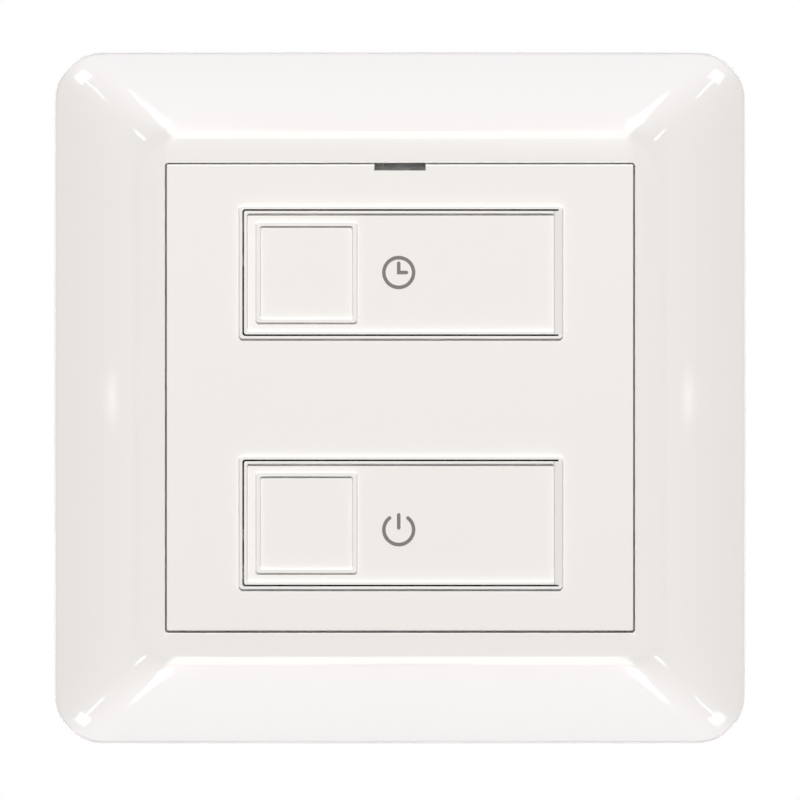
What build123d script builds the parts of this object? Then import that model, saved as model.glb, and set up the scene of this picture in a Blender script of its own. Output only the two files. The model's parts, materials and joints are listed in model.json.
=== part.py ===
from build123d import *
import math
import os

# Timer panel for a flush wall box. Everything is drawn lying on its back, in millimetres:
# X to the right, Y up the wall, Z out of the wall, with the wall's surface at Z = 0 and the
# middle of the box screws at the origin. At the end each piece is stood up against the wall.

# Cover frame
FRAME_SIDE = 81.0
FRAME_DEPTH = 10.0
FRAME_CORNER = 5.8
FRAME_WALL = 1.8
EDGE_RADIUS = 0.8
RIM_WIDTH = 2.75
OPENING_ROUND = 0.12
SLOPE_FOOT_ANGLE = 38.0
SLOPE_HEAD_ANGLE = 24.0
CREST_RADIUS = 3.2
CREST_CORNER = 5.0
INNER_WALL = 1.4
INNER_WALL_FOOT = 4.6
LEDGE_REACH = 1.4
LEDGE_THICKNESS = 1.2
RIB_THICKNESS = 1.0
RIB_CLEARANCE = 0.3
RIB_OFFSET = 14.0
ARC_SECTIONS = 4

# Centre plate
PLATE_SIDE = 54.6
PLATE_GAP = 0.2
PLATE_THICKNESS = 2.0
PLATE_CORNER = 0.2
PLATE_EDGE_ROUND = 0.15
PRY_SLOT_WIDTH = 6.0
PRY_SLOT_HEIGHT = 0.7
SKIRT_SETBACK = 2.4
SKIRT_WALL = 1.5
SKIRT_CORNER = 2.0

# Keys: the slot's centre line gives their length and height
KEY_LENGTH = 36.9
KEY_HEIGHT = 14.65
KEY_PITCH = 29.3
KEY_SHIFT = 0.1
SLOT_WIDTH = 0.2
SLOT_CORNER = 0.35
LIP_CORNER = 0.5
FIELD_CORNER = 0.2
RAISED_RIM_WIDTH = 1.15
RAISED_RIM_HEIGHT = 0.3
RAISED_SLOPE = 0.18
SQUARE_SIDE = 12.0
SQUARE_BEAD = 0.7
SQUARE_HEIGHT = 0.25
SQUARE_CORNER = 0.4
SQUARE_INNER_CORNER = 0.2
SQUARE_SLOPE = 0.16
SQUARE_MARGIN = 0.825
FILM_THICKNESS = 0.45
KEY_TRAVEL_ANGLE = 1.6
KEY_RIB_WIDTH = 1.0
KEY_RIB_HEIGHT = 1.2
KEY_RIB_SPACING = 10.0
KEY_RIB_END_MARGIN = 1.5
PLUNGER_RADIUS = 1.6
PLUNGER_LENGTH = 0.8
PLUNGER_GAP = 0.08

# Tactile switches
SWITCH_SIDE = 6.2
SWITCH_CORNER = 0.5
STEM_RADIUS = 1.75
STEM_PROTRUSION = 1.2
STEM_FIT = 0.05
STEM_BORE_FLOOR = 0.5
STEM_FLOOR_GAP = 0.08
SWITCH_LEG_WIDTH = 0.7
SWITCH_LEG_THICKNESS = 0.2
SWITCH_LEG_REACH = 1.0
SWITCH_LEG_SPACING = 4.5

# Control board and its parts
BOARD_THICKNESS = 1.6
CONTROL_BOARD_LIFT = 0.22
CONTROL_BOARD_STAKE_GAP = 0.4
CONTROL_BOARD_SKIRT_GAP = 0.7
CHIP_SIDE = 7.0
CHIP_HEIGHT = 1.2
CHIP_BEVEL = 0.3
CHIP_GAP = 0.5
CRYSTAL_RADIUS = 1.5
CRYSTAL_LENGTH = 8.0
CRYSTAL_ROUND = 0.4
CRYSTAL_GAP = 0.7
RESISTOR_LENGTH = 2.0
RESISTOR_WIDTH = 1.25
RESISTOR_HEIGHT = 0.6
RESISTOR_PITCH = 2.6
RESISTOR_COUNT = 5
RESISTOR_GAP = 4.5
RESISTOR_Y = 1.6
PIN_COUNT = 6
PIN_PITCH = 2.54
PIN_SIDE = 0.64
PIN_ROW_Y = -6.0
PIN_STICKS_OUT = 0.8
PIN_DIPS_IN = 4.8
PIN_FIT = 0.13
HEADER_HEIGHT = 2.5
HEADER_WIDTH = 2.5

# Module back
HOOK_BORE_GAP = 0.6
TRAY_WALL = 1.4
TRAY_FLOOR = 1.2
TRAY_FLOOR_DEPTH = 3.6
BOSS_RADIUS = 2.3
BOSS_WALL_GAP = 0.5
PILLAR_RADIUS = 2.0
HOOK_REACH = 1.1
HOOK_HEIGHT = 1.3
HOOK_GAP = 0.1
HOOK_ANGLE = 20.0
HOOK_COUNT = 4
TRAY_WINDOW_MARGIN = 0.6

# Screws
MODULE_SCREW_RADIUS = 1.0
MODULE_SCREW_HEAD = 1.9
MODULE_SCREW_HEAD_HEIGHT = 1.3
MODULE_SCREW_LENGTH = 8.0
LID_SCREW_LENGTH = 8.0
PILOT_CLEARANCE = 0.02
PASSING_CLEARANCE = 0.2
SCREW_SLOT_WIDTH = 0.6
SCREW_SLOT_DEPTH = 0.6
SCREW_HEAD_ROUND = 0.4
SCREW_TIP_BEVEL = 0.3

# Support ring
RING_SETBACK = 5.0
RING_CORNER = 6.0
RING_THICKNESS = 1.2
RING_OPENING_CLEARANCE = 0.4
BOX_SCREW_SPACING = 60.0
BOX_SLOT_LENGTH = 4.6
BOX_SLOT_RADIUS = 1.8
RING_EDGE_LENGTH = 16.0
RING_EDGE_SPACING = 28.0
RING_EDGE_HEIGHT = 1.5

# Insert
INSERT_RADIUS = 26.5
INSERT_WALL = 1.6
INSERT_STEP_WALL = 2.5
INSERT_SHOULDER = 10.0
TERMINAL_FLAT = 22.8
STAKE_RADIUS = 0.75
STAKE_HEAD_RADIUS = 1.3
STAKE_HEAD_HEIGHT = 0.5
STAKE_CLEARANCE = 0.05
STAKE_COUNT = 4
LID_TOP_DEPTH = 6.0
LID_THICKNESS = 1.4
LID_CLEARANCE = 0.2
LID_BOSS_INSET = 2.4
LID_BOSS_RADIUS = 2.7
BOARD_STEP = 0.7
LID_POST_RADIUS = 1.2
LID_POST_X = 8.0
LID_POST_Y = 20.0

# Power board and its parts
POWER_BOARD_CLEARANCE = 0.3
TALLEST_PART_GAP = 0.6
BOARD_TO_LID = 5.6
PART_GAP = 1.5
PART_WALL_GAP = 1.1
RELAY_LENGTH = 28.6
RELAY_WIDTH = 12.6
RELAY_HEIGHT = 10.2
RELAY_TERMINAL_GAP = 3.5
FILM_CAPACITOR_LENGTH = 18.0
FILM_CAPACITOR_WIDTH = 6.0
FILM_CAPACITOR_HEIGHT = 9.8
ELECTROLYTIC_RADIUS = 4.0
ELECTROLYTIC_HEIGHT = 9.6
ELECTROLYTIC_ANGLE = 146.0
VARISTOR_RADIUS = 4.5
VARISTOR_THICKNESS = 4.0
VARISTOR_ANGLE = 34.0
VARISTOR_STANDOFF = 0.3
VARISTOR_ROUND = 1.0
VARISTOR_FOOT_WIDTH = 4.5
VARISTOR_FOOT_THICKNESS = 2.0
FUSE_RADIUS = 4.1
FUSE_HEIGHT = 8.0
FUSE_X = -6.0
CHOKE_RADIUS = 4.0
CHOKE_WAIST = 2.4
CHOKE_HEIGHT = 8.6
CHOKE_FLANGE = 1.0
CHOKE_X = 6.0
RECTIFIER_LENGTH = 8.2
RECTIFIER_WIDTH = 6.4
RECTIFIER_HEIGHT = 3.2
RECTIFIER_Y = 6.0
SOCKET_WIDTH = 2.6
SOCKET_TOP_GAP = 0.6
SOCKET_WINDOW_MARGIN = 0.4
PART_ROUND = 0.5

# Terminals
TERMINAL_COUNT = 4
TERMINAL_PITCH = 6.0
TERMINAL_FRONT_GAP = 2.1
CAGE_WIDTH = 4.8
CAGE_DEPTH = 5.4
CAGE_HEIGHT = 6.5
CAGE_MOUTH_WIDTH = 3.2
CAGE_MOUTH_DEPTH = 3.2
CAGE_FIT = 0.1
BLOCK_BACK_WALL = 1.2
BLOCK_FLOOR = 1.4
BLOCK_WALL_CLEARANCE = 0.1
BLOCK_SIDE_WALL = 1.0
WIRE_HOLE_RADIUS = 1.5
DRIVER_HOLE_RADIUS = 1.9
CLAMP_SCREW_RADIUS = 1.25
CLAMP_SCREW_HEAD = 1.75
CLAMP_SCREW_HEAD_HEIGHT = 1.4
BAR_WIDTH = 2.4
BAR_THICKNESS = 0.8
BAR_FIT = 0.1

# Levels worked out from the sizes above, all along Z
PLATE_TOP = FRAME_DEPTH
PLATE_BACK = PLATE_TOP - PLATE_THICKNESS
RIM_TOP = PLATE_TOP + RAISED_RIM_HEIGHT
STEM_TOP = PLATE_BACK - PLUNGER_LENGTH - PLUNGER_GAP
SWITCH_TOP = STEM_TOP - STEM_PROTRUSION
BOARD_BACK = RING_THICKNESS + CONTROL_BOARD_LIFT
BOARD_FRONT = BOARD_BACK + BOARD_THICKNESS
RIB_FOOT = RING_THICKNESS + RING_EDGE_HEIGHT + RIB_CLEARANCE
LID_TOP = -LID_TOP_DEPTH
LID_BACK = LID_TOP - LID_THICKNESS
TALLEST_PART = max(
    RELAY_HEIGHT,
    FILM_CAPACITOR_HEIGHT,
    ELECTROLYTIC_HEIGHT,
    FUSE_HEIGHT,
    CHOKE_HEIGHT,
    VARISTOR_STANDOFF + 2 * VARISTOR_RADIUS,
)
POWER_FRONT = LID_BACK - BOARD_TO_LID
POWER_BACK = POWER_FRONT - BOARD_THICKNESS
INSERT_FLOOR = POWER_BACK - TALLEST_PART - TALLEST_PART_GAP
INSERT_BACK = INSERT_FLOOR - INSERT_WALL
SOCKET_TOP = -TRAY_FLOOR_DEPTH - SOCKET_TOP_GAP

# Places worked out in the plane of the wall
SLOT_LEFT = KEY_SHIFT - KEY_LENGTH / 2
SLOT_RIGHT = KEY_SHIFT + KEY_LENGTH / 2
WEB_LEFT = SLOT_RIGHT - RAISED_RIM_WIDTH / 2
WEB_RIGHT = SLOT_RIGHT + RAISED_RIM_WIDTH / 2
HINGE_X = SLOT_RIGHT
HINGE_GROOVE = RAISED_RIM_WIDTH / 2
HINGE_Z = RIM_TOP - FILM_THICKNESS - HINGE_GROOVE
SQUARE_X = SLOT_LEFT + RAISED_RIM_WIDTH / 2 + SQUARE_MARGIN + SQUARE_SIDE / 2
KEY_MIDDLES = {"timer": KEY_PITCH / 2, "off": -KEY_PITCH / 2}
ARM = HINGE_X - SQUARE_X
KEY_TRAVEL = ARM * math.sin(math.radians(KEY_TRAVEL_ANGLE))
STEM_FOOT = BOARD_FRONT + STEM_BORE_FLOOR + KEY_TRAVEL + STEM_FLOOR_GAP
SKIRT_SIDE = PLATE_SIDE - 2 * SKIRT_SETBACK
RING_SIDE = FRAME_SIDE - 2 * RING_SETBACK
INSERT_BORE = INSERT_RADIUS - INSERT_WALL
INSERT_LOWER_BORE = INSERT_RADIUS - INSERT_STEP_WALL
INSERT_INNER_FLAT = TERMINAL_FLAT - INSERT_WALL
LID_BOSS_X = INSERT_LOWER_BORE - LID_BOSS_INSET
STAKE_PLACE = INSERT_RADIUS - INSERT_WALL / 2
TRAY_RADIUS = INSERT_BORE - HOOK_BORE_GAP - HOOK_REACH
RING_OPENING = TRAY_RADIUS + RING_OPENING_CLEARANCE
CONTROL_BOARD_RADIUS = STAKE_PLACE - STAKE_HEAD_RADIUS - CONTROL_BOARD_STAKE_GAP
CONTROL_BOARD_SIDE = SKIRT_SIDE - 2 * SKIRT_WALL - 2 * CONTROL_BOARD_SKIRT_GAP
BOSS_X = TRAY_RADIUS - TRAY_WALL - BOSS_RADIUS - BOSS_WALL_GAP
CRYSTAL_X = BOSS_X - BOSS_RADIUS - CRYSTAL_GAP - CRYSTAL_LENGTH / 2
CHIP_X = CRYSTAL_X - CRYSTAL_LENGTH / 2 - CHIP_GAP - CHIP_SIDE / 2
RESISTOR_X = CHIP_X - CHIP_SIDE / 2 - RESISTOR_GAP - RESISTOR_LENGTH / 2
TERMINAL_Y = TERMINAL_FRONT_GAP + CAGE_DEPTH / 2 - INSERT_INNER_FLAT
BLOCK_BACK_Y = TERMINAL_Y + CAGE_DEPTH / 2 + CAGE_FIT + BLOCK_BACK_WALL
RELAY_Y = BLOCK_BACK_Y + RELAY_TERMINAL_GAP + RELAY_WIDTH / 2
FILM_CAPACITOR_Y = RELAY_Y + RELAY_WIDTH / 2 + PART_GAP + FILM_CAPACITOR_WIDTH / 2
THIRD_ROW_Y = FILM_CAPACITOR_Y + FILM_CAPACITOR_WIDTH / 2 + PART_GAP
PIN_ROW_LENGTH = PIN_COUNT * PIN_PITCH
TERMINAL_PLACES = [(i - (TERMINAL_COUNT - 1) / 2) * TERMINAL_PITCH for i in range(TERMINAL_COUNT)]
PIN_PLACES = [(i - (PIN_COUNT - 1) / 2) * PIN_PITCH for i in range(PIN_COUNT)]
THROUGH = 1.0


def block(x0, x1, y0, y1, z0, z1):
    """A box between three pairs of planes."""
    middle = Pos((x0 + x1) / 2, (y0 + y1) / 2, (z0 + z1) / 2)
    return middle * Box(x1 - x0, y1 - y0, z1 - z0)


def centred_block(width, height, z0, z1, x=0, y=0):
    """A box given by its width along X, its height along Y and its two levels."""
    return block(x - width / 2, x + width / 2, y - height / 2, y + height / 2, z0, z1)


def disc(radius, z0, z1, x=0, y=0):
    """A round piece standing on its end."""
    return Pos(x, y, (z0 + z1) / 2) * Cylinder(radius, z1 - z0)


def rounded(width, height, corner, z0, z1, x=0, y=0):
    """A slab with rounded corners."""
    return Pos(x, y, z0) * extrude(RectangleRounded(width, height, corner), z1 - z0)


def tapered(width, height, corner, run, z0, z1, x=0, y=0):
    """A slab with rounded corners whose sides lean in by run, or out where run is negative."""
    foot = Pos(x, y, z0) * RectangleRounded(width, height, corner)
    head = Pos(x, y, z1) * RectangleRounded(width - 2 * run, height - 2 * run, corner - run)
    return loft([foot, head])


def rod_along_x(radius, x0, x1, y, z):
    """A round bar lying along X."""
    return Pos((x0 + x1) / 2, y, z) * Rot(0, 90, 0) * Cylinder(radius, x1 - x0)


def rod_along_y(radius, x, y0, y1, z):
    """A round bar lying along Y."""
    return Pos(x, (y0 + y1) / 2, z) * Rot(90, 0, 0) * Cylinder(radius, y1 - y0)


def around(count, radius):
    """Places spread evenly round the middle, the first on the diagonal."""
    step = 2 * math.pi / count
    angles = [step * (i + 0.5) for i in range(count)]
    return [(radius * math.cos(a), radius * math.sin(a)) for a in angles]


def round_top(solid, radius):
    """The solid with the edges of its highest face rounded."""
    return fillet(solid.edges().group_by(Axis.Z)[-1], radius)


# Cover frame


def arc_steps(start, end, radius, inset, height):
    """Points along a round stretch of the frame's profile, as inset from the side and height.

    The angles are the slopes at its two ends, in degrees, 90 for upright and 0 for level.
    """
    points = []
    for i in range(ARC_SECTIONS):
        slope = math.radians(start + (end - start) * i / (ARC_SECTIONS - 1))
        run = radius * (math.sin(math.radians(start)) - math.sin(slope))
        rise = radius * (math.cos(slope) - math.cos(math.radians(start)))
        points.append((inset + run, height + rise))
    return points


def frame_profile():
    """The outer profile as three round stretches: edge, slope and crest."""
    foot = math.sin(math.radians(SLOPE_FOOT_ANGLE))
    head = math.sin(math.radians(SLOPE_HEAD_ANGLE))
    edge_run = EDGE_RADIUS * (1 - foot)
    crest_run = CREST_RADIUS * head
    slope_run = (FRAME_SIDE - opening_side()) / 2 - RIM_WIDTH - edge_run - crest_run
    slope_radius = slope_run / (foot - head)
    stretches = [
        (90.0, SLOPE_FOOT_ANGLE, EDGE_RADIUS),
        (SLOPE_FOOT_ANGLE, SLOPE_HEAD_ANGLE, slope_radius),
        (SLOPE_HEAD_ANGLE, 0.0, CREST_RADIUS),
    ]
    rise = 0.0
    for start, end, radius in stretches:
        rise += radius * (math.cos(math.radians(end)) - math.cos(math.radians(start)))
    place = (0.0, FRAME_DEPTH - rise)
    profile = []
    for start, end, radius in stretches:
        steps = arc_steps(start, end, radius, *place)
        profile.append(steps)
        place = steps[-1]
    return profile


def frame_corner(inset, full_inset):
    """The corner radius in plan, which shrinks steadily from the outside to the crest."""
    return FRAME_CORNER + (CREST_CORNER - FRAME_CORNER) * inset / full_inset


def frame_section(inset, height, full_inset):
    """One rounded square of the frame's outer skin."""
    side = FRAME_SIDE - 2 * inset
    corner = frame_corner(inset, full_inset)
    return Pos(0, 0, height) * RectangleRounded(side, side, corner)


def frame_block():
    """The frame's outer shape, with nothing hollowed out."""
    profile = frame_profile()
    full_inset = profile[-1][-1][0]
    solid = rounded(FRAME_SIDE, FRAME_SIDE, FRAME_CORNER, 0, profile[0][0][1])
    for stretch in profile:
        sections = [frame_section(inset, height, full_inset) for inset, height in stretch]
        solid += loft(sections)
    return solid


def frame_hollow():
    """The space behind the frame's face, between its outer and inner walls, with ribs left in."""
    profile = frame_profile()
    foot_inset, foot_height = profile[1][0]
    head_inset, head_height = profile[1][-1]
    lean = math.atan2(head_height - foot_height, head_inset - foot_inset)
    drop = FRAME_WALL / math.cos(lean)
    low = foot_height - drop + (FRAME_WALL - foot_inset) * math.tan(lean)
    top = FRAME_DEPTH - FRAME_WALL
    top_inset = FRAME_WALL + (top - low) / math.tan(lean)
    outer_side = FRAME_SIDE - 2 * FRAME_WALL
    top_side = FRAME_SIDE - 2 * top_inset
    corner = FRAME_CORNER - FRAME_WALL
    hollow = rounded(outer_side, outer_side, corner, -THROUGH, low)
    foot = Pos(0, 0, low) * RectangleRounded(outer_side, outer_side, corner)
    head = Pos(0, 0, top) * RectangleRounded(top_side, top_side, CREST_CORNER - FRAME_WALL)
    hollow += loft([foot, head])
    core = opening_side() + 2 * INNER_WALL
    hollow -= centred_block(core, core, INNER_WALL_FOOT, FRAME_DEPTH)
    for offset in (-RIB_OFFSET, RIB_OFFSET):
        hollow -= centred_block(RIB_THICKNESS, FRAME_SIDE, RIB_FOOT, FRAME_DEPTH, offset, 0)
        hollow -= centred_block(FRAME_SIDE, RIB_THICKNESS, RIB_FOOT, FRAME_DEPTH, 0, offset)
    return hollow


def opening_side():
    """The side of the opening that the centre plate lies in."""
    return PLATE_SIDE + 2 * PLATE_GAP


def cover_frame():
    opening = opening_side()
    core = opening + 2 * INNER_WALL
    inner = opening - 2 * LEDGE_REACH
    ledge_back = PLATE_BACK - LEDGE_THICKNESS
    frame = frame_block() - frame_hollow()
    frame -= centred_block(core, core, -THROUGH, INNER_WALL_FOOT)
    frame -= rounded(opening, opening, PLATE_CORNER + PLATE_GAP, PLATE_BACK, FRAME_DEPTH + THROUGH)
    rim = frame.faces().sort_by(Axis.Z)[-1]
    frame = fillet(rim.inner_wires()[0].edges(), OPENING_ROUND)
    frame -= centred_block(inner, inner, -THROUGH, FRAME_DEPTH)
    frame -= rounded(opening, opening, PLATE_CORNER, -THROUGH, ledge_back)
    notch_y = opening / 2 - LEDGE_REACH / 2
    frame -= centred_block(PRY_SLOT_WIDTH, LEDGE_REACH, -THROUGH, FRAME_DEPTH, 0, notch_y)
    return frame


# Centre plate and keys


def slot_outline(grow, corner, right, z0, z1, middle):
    """A slab bounded by the slot's centre line moved out by grow, but ending square at right."""
    left = SLOT_LEFT - grow
    height = KEY_HEIGHT + 2 * grow
    overrun = 2 * corner
    slab = rounded(right + overrun - left, height, corner, z0, z1, (left + right + overrun) / 2, middle)
    return slab - centred_block(2 * overrun, height + THROUGH, z0, z1, right + overrun, middle)


def plate_lip(middle):
    """The outer half of the raised rim round a key, which belongs to the plate."""
    width = KEY_LENGTH + RAISED_RIM_WIDTH
    height = KEY_HEIGHT + RAISED_RIM_WIDTH
    lip = tapered(width, height, LIP_CORNER, RAISED_SLOPE, PLATE_TOP, RIM_TOP, KEY_SHIFT, middle)
    return lip - slot_outline(SLOT_WIDTH / 2, SLOT_CORNER, SLOT_RIGHT, PLATE_TOP, RIM_TOP, middle)


def web_room(middle):
    """The space of the flexible web in the plate."""
    height = KEY_HEIGHT - SLOT_WIDTH
    return block(WEB_LEFT, WEB_RIGHT, middle - height / 2, middle + height / 2, PLATE_BACK, RIM_TOP)


def plate_skirt():
    """The square wall behind the plate, which stands on the steel ring."""
    inner = SKIRT_SIDE - 2 * SKIRT_WALL
    skirt = rounded(SKIRT_SIDE, SKIRT_SIDE, SKIRT_CORNER, RING_THICKNESS, PLATE_BACK)
    return skirt - rounded(inner, inner, SKIRT_CORNER - SKIRT_WALL, RING_THICKNESS, PLATE_BACK)


def centre_plate():
    plate = rounded(PLATE_SIDE, PLATE_SIDE, PLATE_CORNER, PLATE_BACK, PLATE_TOP)
    plate = round_top(plate, PLATE_EDGE_ROUND)
    slot_y = PLATE_SIDE / 2 - PRY_SLOT_HEIGHT / 2
    plate -= centred_block(
        PRY_SLOT_WIDTH, PRY_SLOT_HEIGHT, PLATE_BACK, PLATE_TOP + THROUGH, 0, slot_y
    )
    for middle in KEY_MIDDLES.values():
        plate += plate_lip(middle)
        plate -= slot_outline(SLOT_WIDTH / 2, SLOT_CORNER, SLOT_RIGHT, PLATE_BACK, RIM_TOP, middle)
        plate -= web_room(middle)
    plate += plate_skirt()
    pilot = MODULE_SCREW_RADIUS + PILOT_CLEARANCE
    screw_end = module_screw_seat() + MODULE_SCREW_LENGTH
    for x in (-BOSS_X, BOSS_X):
        plate += disc(BOSS_RADIUS, BOARD_FRONT, PLATE_BACK, x)
        plate -= disc(pilot, BOARD_FRONT, screw_end, x)
    return plate


def key_rim(middle):
    """The inner half of the raised rim, which belongs to the key and slopes down to its field."""
    width = KEY_LENGTH - SLOT_WIDTH
    height = KEY_HEIGHT - SLOT_WIDTH
    corner = SLOT_CORNER - SLOT_WIDTH / 2
    field_width = KEY_LENGTH - RAISED_RIM_WIDTH
    field_height = KEY_HEIGHT - RAISED_RIM_WIDTH
    rim = rounded(width, height, corner, PLATE_TOP, RIM_TOP, KEY_SHIFT, middle)
    rim -= tapered(
        field_width, field_height, FIELD_CORNER, -RAISED_SLOPE, PLATE_TOP, RIM_TOP, KEY_SHIFT, middle
    )
    return rim - block(WEB_LEFT, WEB_RIGHT, middle - height, middle + height, PLATE_TOP, RIM_TOP)


def square_bead(middle):
    """The raised outline of the square where the key is pressed, with sloping sides."""
    top = PLATE_TOP + SQUARE_HEIGHT
    hole = SQUARE_SIDE - 2 * SQUARE_BEAD
    bead = tapered(
        SQUARE_SIDE, SQUARE_SIDE, SQUARE_CORNER, SQUARE_SLOPE, PLATE_TOP, top, SQUARE_X, middle
    )
    return bead - tapered(
        hole, hole, SQUARE_INNER_CORNER, -SQUARE_SLOPE, PLATE_TOP, top, SQUARE_X, middle
    )


def key(middle):
    """A key: a tongue with half of the raised rim, a raised square, ribs and a plunger."""
    corner = SLOT_CORNER - SLOT_WIDTH / 2
    tongue = slot_outline(-SLOT_WIDTH / 2, corner, WEB_LEFT, PLATE_BACK, PLATE_TOP, middle)
    solid = tongue + key_rim(middle) + square_bead(middle)
    rib_left = SLOT_LEFT + KEY_RIB_END_MARGIN
    rib_right = WEB_LEFT - KEY_RIB_END_MARGIN
    rib_foot = PLATE_BACK - KEY_RIB_HEIGHT
    for side in (-KEY_RIB_SPACING / 2, KEY_RIB_SPACING / 2):
        low = middle + side - KEY_RIB_WIDTH / 2
        solid += block(rib_left, rib_right, low, low + KEY_RIB_WIDTH, rib_foot, PLATE_BACK)
    return solid + disc(PLUNGER_RADIUS, PLATE_BACK - PLUNGER_LENGTH, PLATE_BACK, SQUARE_X, middle)


def key_hinge(middle):
    """The flexible web that joins key and plate, with a round groove behind it on the hinge axis."""
    height = KEY_HEIGHT - SLOT_WIDTH
    end = middle + height / 2
    profile = Polyline(
        (WEB_LEFT, end, HINGE_Z),
        (WEB_LEFT, end, PLATE_TOP),
        (WEB_LEFT + RAISED_SLOPE, end, RIM_TOP),
        (WEB_RIGHT - RAISED_SLOPE, end, RIM_TOP),
        (WEB_RIGHT, end, PLATE_TOP),
        (WEB_RIGHT, end, HINGE_Z),
        close=True,
    )
    web = extrude(make_face(profile), height, dir=(0, -1, 0))
    return web - rod_along_y(HINGE_GROOVE, HINGE_X, middle - height, middle + height, HINGE_Z)


# Switches and control board


def switch_body(middle):
    """A square tactile switch with its stem's bore and four flat legs."""
    body = rounded(
        SWITCH_SIDE, SWITCH_SIDE, SWITCH_CORNER, BOARD_FRONT, SWITCH_TOP, SQUARE_X, middle
    )
    leg_span = SWITCH_SIDE + 2 * SWITCH_LEG_REACH
    leg_top = BOARD_FRONT + SWITCH_LEG_THICKNESS
    for side in (-SWITCH_LEG_SPACING / 2, SWITCH_LEG_SPACING / 2):
        body += centred_block(leg_span, SWITCH_LEG_WIDTH, BOARD_FRONT, leg_top, SQUARE_X, middle + side)
    bore_floor = BOARD_FRONT + STEM_BORE_FLOOR
    return body - disc(STEM_RADIUS + STEM_FIT, bore_floor, SWITCH_TOP, SQUARE_X, middle)


def switch_stem(middle):
    """The round stem that the key's plunger pushes in."""
    stem = disc(STEM_RADIUS, STEM_FOOT, STEM_TOP, SQUARE_X, middle)
    return round_top(stem, STEM_FIT)


def control_board():
    square = centred_block(CONTROL_BOARD_SIDE, CONTROL_BOARD_SIDE, BOARD_BACK, BOARD_FRONT)
    board = disc(CONTROL_BOARD_RADIUS, BOARD_BACK, BOARD_FRONT) & square
    for x in (-BOSS_X, BOSS_X):
        board -= disc(MODULE_SCREW_RADIUS + PASSING_CLEARANCE, BOARD_BACK, BOARD_FRONT, x)
    hole = PIN_SIDE + 2 * PIN_FIT
    for x in PIN_PLACES:
        board -= centred_block(hole, hole, BOARD_BACK, BOARD_FRONT, x, PIN_ROW_Y)
    return board


def controller_chip():
    chip = centred_block(CHIP_SIDE, CHIP_SIDE, BOARD_FRONT, BOARD_FRONT + CHIP_HEIGHT, CHIP_X)
    return chamfer(chip.edges().group_by(Axis.Z)[-1], CHIP_BEVEL)


def clock_crystal():
    left = CRYSTAL_X - CRYSTAL_LENGTH / 2
    centre = BOARD_FRONT + CRYSTAL_RADIUS
    can = rod_along_x(CRYSTAL_RADIUS, left, left + CRYSTAL_LENGTH, 0, centre)
    return fillet(can.edges().filter_by(GeomType.CIRCLE), CRYSTAL_ROUND)


def board_resistors():
    parts = []
    for i in range(RESISTOR_COUNT):
        y = RESISTOR_Y + (i - (RESISTOR_COUNT - 1) / 2) * RESISTOR_PITCH
        top = BOARD_FRONT + RESISTOR_HEIGHT
        parts.append(centred_block(RESISTOR_LENGTH, RESISTOR_WIDTH, BOARD_FRONT, top, RESISTOR_X, y))
    return parts


def pin_header():
    bottom = BOARD_BACK - HEADER_HEIGHT
    header = centred_block(PIN_ROW_LENGTH, HEADER_WIDTH, bottom, BOARD_BACK, 0, PIN_ROW_Y)
    for x in PIN_PLACES:
        header -= centred_block(PIN_SIDE, PIN_SIDE, bottom, BOARD_BACK, x, PIN_ROW_Y)
    return header


def header_pins():
    bottom = SOCKET_TOP - PIN_DIPS_IN
    top = BOARD_FRONT + PIN_STICKS_OUT
    return [centred_block(PIN_SIDE, PIN_SIDE, bottom, top, x, PIN_ROW_Y) for x in PIN_PLACES]


# Module back


def module_screw_seat():
    """The level of the module screws' heads' seat in the tray's bosses."""
    return -TRAY_FLOOR_DEPTH + MODULE_SCREW_HEAD_HEIGHT


def snap_hook(angle):
    """A nose on the tray's wall that catches behind the steel ring."""
    top = -HOOK_GAP
    foot = TRAY_RADIUS - TRAY_WALL / 2
    nose = Polyline(
        (foot, 0, top),
        (TRAY_RADIUS + HOOK_REACH, 0, top),
        (TRAY_RADIUS, 0, top - HOOK_HEIGHT),
        (foot, 0, top - HOOK_HEIGHT),
        close=True,
    )
    arm = revolve(make_face(nose), Axis.Z, HOOK_ANGLE)
    return Rot(0, 0, angle - HOOK_ANGLE / 2) * arm


def module_back():
    bottom = -TRAY_FLOOR_DEPTH
    tray = disc(TRAY_RADIUS, bottom, RING_THICKNESS)
    tray -= disc(TRAY_RADIUS - TRAY_WALL, bottom + TRAY_FLOOR, RING_THICKNESS)
    seat = module_screw_seat()
    for x in (-BOSS_X, BOSS_X):
        tray += disc(BOSS_RADIUS, bottom, BOARD_BACK, x)
        tray -= disc(MODULE_SCREW_RADIUS + PASSING_CLEARANCE, bottom, BOARD_BACK, x)
        tray -= disc(MODULE_SCREW_HEAD + PASSING_CLEARANCE, bottom, seat, x)
    for middle in KEY_MIDDLES.values():
        tray += disc(PILLAR_RADIUS, bottom, BOARD_BACK, SQUARE_X, middle)
    window = PIN_ROW_LENGTH + 2 * TRAY_WINDOW_MARGIN
    window_height = HEADER_WIDTH + 2 * TRAY_WINDOW_MARGIN
    tray -= centred_block(window, window_height, bottom, bottom + TRAY_FLOOR, 0, PIN_ROW_Y)
    for i in range(HOOK_COUNT):
        tray += snap_hook(360 / HOOK_COUNT * (i + 0.5))
    return tray


# Screws


def screw(radius, head_radius, head_height, length):
    """A pan-head screw pointing along +Z, with its head's seat at the origin."""
    head = disc(head_radius, -head_height, 0)
    head = fillet(head.edges().group_by(Axis.Z)[0], SCREW_HEAD_ROUND)
    body = head + disc(radius, 0, length)
    body = chamfer(body.edges().group_by(Axis.Z)[-1], SCREW_TIP_BEVEL)
    slot = centred_block(2 * head_radius, SCREW_SLOT_WIDTH, -head_height, SCREW_SLOT_DEPTH - head_height)
    return body - slot


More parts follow.
